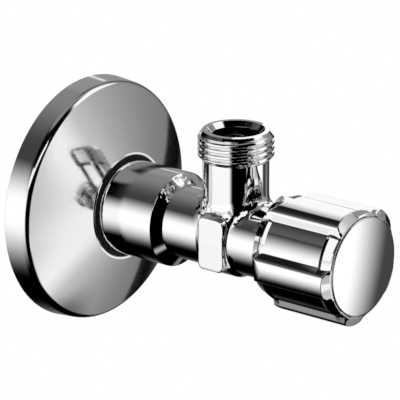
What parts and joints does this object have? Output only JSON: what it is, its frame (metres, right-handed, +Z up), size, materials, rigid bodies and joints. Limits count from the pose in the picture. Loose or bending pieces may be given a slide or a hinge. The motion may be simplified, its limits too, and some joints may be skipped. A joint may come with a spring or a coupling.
{
  "type": "angle valve",
  "caption": "Chromed angle valve: conical sliding wall rosette, threaded inlet, upright threaded outlet, and a lobed turning handle that lifts a washer off its seat.",
  "frame": {"origin": "on the valve's axis, in the plane of the wall that the rosette's rim stands on", "axes": "+X along the valve's axis out of the wall, towards the handle; +Z up along the outlet"},
  "size_m": [0.089, 0.0554, 0.0554],
  "materials": {
    "chrome": "polished plating",
    "brass": "turned",
    "steel": "plain",
    "rubber": "matt",
    "fibre": "matt",
    "plastic": "satin"
  },
  "bodies": {
    "valve": {"valve_body": "chrome", "headwork_bonnet": "brass", "headwork_gasket": "fibre"},
    "wall_rosette": {"rosette": "chrome", "rosette_grip_ring": "rubber"},
    "handle": {"handle_grip": "chrome", "handle_cap": "chrome", "handle_screw": "steel", "screw_lock_washer": "steel", "spline_bush": "plastic", "spindle": "brass", "stem_seal_inner": "rubber", "stem_seal_outer": "rubber", "thrust_ring": "plastic", "spindle_circlip": "steel"},
    "closing_plunger": {"plunger": "brass", "plunger_seal": "rubber", "valve_washer": "rubber", "washer_plate": "brass", "washer_screw": "steel"}
  },
  "joints": [
    {"name": "handle_turn", "type": "hinge", "parent": "valve", "child": "handle", "pos_m": [0.065, 0, 0], "axis": [1, 0, 0], "range_deg": [0, 990]},
    {"name": "plunger_slide", "type": "slide", "parent": "valve", "child": "closing_plunger", "axis": [1, 0, 0], "range_m": [0, 0.0035]},
    {"name": "rosette_slide", "type": "slide", "parent": "valve", "child": "wall_rosette", "axis": [1, 0, 0], "range_m": [0, 0.012]}
  ],
  "couplings": [
    {"joint": "plunger_slide", "follows": "handle_turn", "m_per_rad": 0.00019894}
  ]
}
